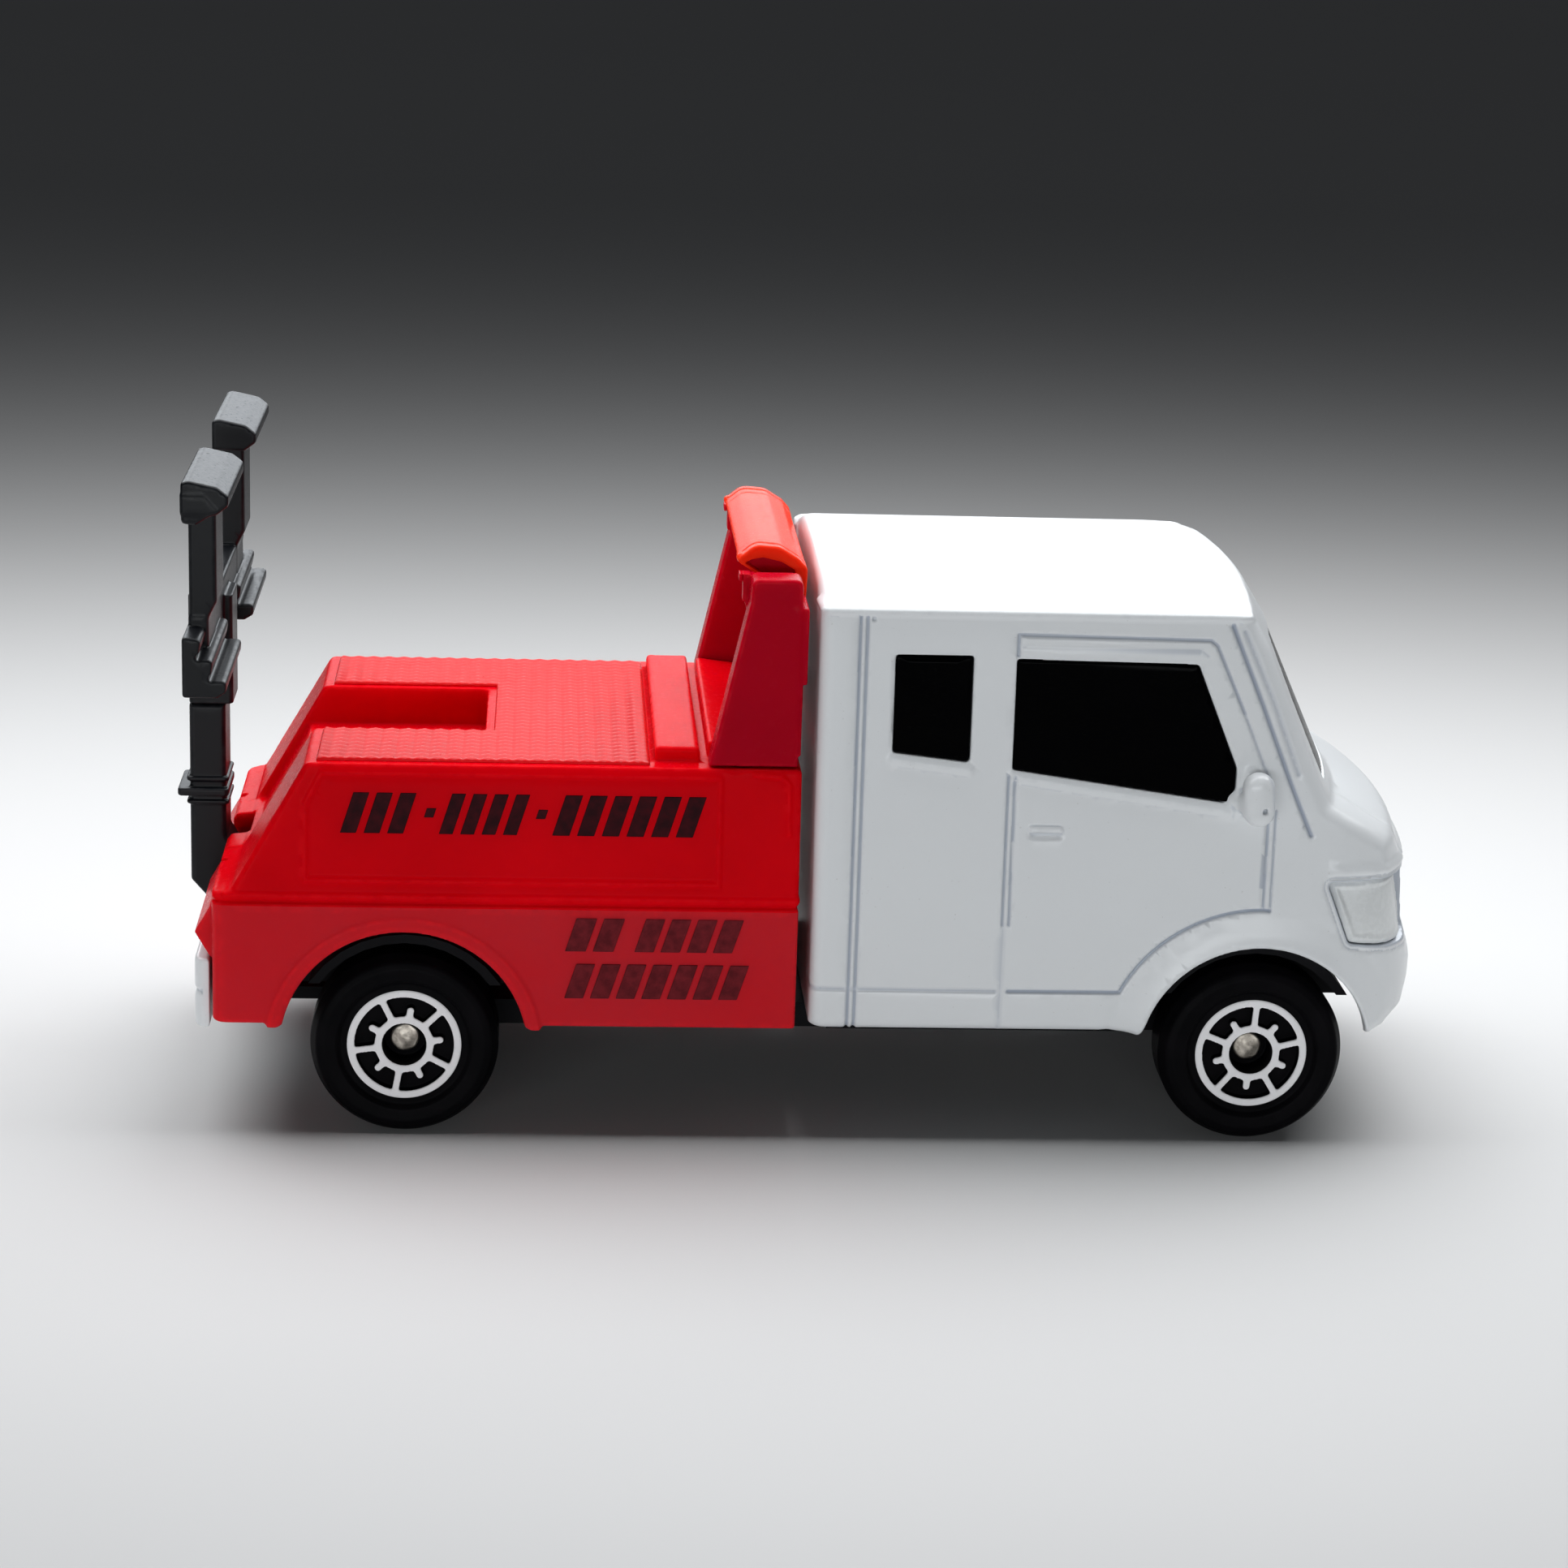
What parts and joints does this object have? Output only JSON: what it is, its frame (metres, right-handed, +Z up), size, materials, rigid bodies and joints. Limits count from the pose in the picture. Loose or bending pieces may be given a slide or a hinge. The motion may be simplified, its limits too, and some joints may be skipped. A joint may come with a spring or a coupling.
{
  "type": "toy tow truck",
  "caption": "small die-cast toy tow truck with a crew cab, moulded service bed, gantry with light bar, rolling wheels and a fold-down wheel-lift boom",
  "frame": {"origin": "middle of the bounding box at ground level, under the wheels", "axes": "+X is forward and the longest extent, +Y is the truck's left, +Z is up"},
  "size_m": [0.0782, 0.0324, 0.0409],
  "materials": {
    "white_paint": "smooth gloss white enamel over die-cast metal",
    "window_plastic": "opaque black moulding, polished panes",
    "lamp_silver": "silver-coated plastic",
    "red_plastic": "glossy moulded red plastic, slightly translucent at thin edges",
    "light_bar_plastic": "glossy orange-red plastic",
    "black_plastic": "satin black moulded plastic",
    "boom_plastic": "satin black moulded plastic with fine mould texture",
    "wheel_plastic": "black plastic with white printed ring and spokes",
    "black_print": "thin pad-printed black ink",
    "steel": "plain drawn steel, cropped ends"
  },
  "bodies": {
    "truck": {"cab_shell": "white_paint", "window_insert": "window_plastic", "grille_insert": "lamp_silver", "bed": "red_plastic", "gantry": "red_plastic", "light_bar": "light_bar_plastic", "base_plate": "black_plastic", "rear_bumper": "white_paint", "boom_pin": "steel", "front_rivet": "steel", "rear_rivet": "steel", "front_axle": "steel", "rear_axle": "steel"},
    "boom": {"boom_stem": "boom_plastic", "wheel_cradle": "boom_plastic"},
    "front_left_spin": {"front_left_wheel": "wheel_plastic"},
    "front_right_spin": {"front_right_wheel": "wheel_plastic"},
    "rear_left_spin": {"rear_left_wheel": "wheel_plastic"},
    "rear_right_spin": {"rear_right_wheel": "wheel_plastic"}
  },
  "joints": [
    {"name": "boom_fold", "type": "hinge", "parent": "truck", "child": "boom", "pos_m": [-0.0359, 0, 0.0126], "axis": [0, 1, 0], "range_deg": [-105, 6]},
    {"name": "front_left_roll", "type": "hinge", "parent": "truck", "child": "front_left_spin", "pos_m": [0.0279, 0.0119, 0.00575], "axis": [0, 1, 0], "continuous": true},
    {"name": "front_right_roll", "type": "hinge", "parent": "truck", "child": "front_right_spin", "pos_m": [0.0279, -0.0119, 0.00575], "axis": [0, 1, 0], "continuous": true},
    {"name": "rear_left_roll", "type": "hinge", "parent": "truck", "child": "rear_left_spin", "pos_m": [-0.0244, 0.0119, 0.00575], "axis": [0, 1, 0], "continuous": true},
    {"name": "rear_right_roll", "type": "hinge", "parent": "truck", "child": "rear_right_spin", "pos_m": [-0.0244, -0.0119, 0.00575], "axis": [0, 1, 0], "continuous": true}
  ]
}
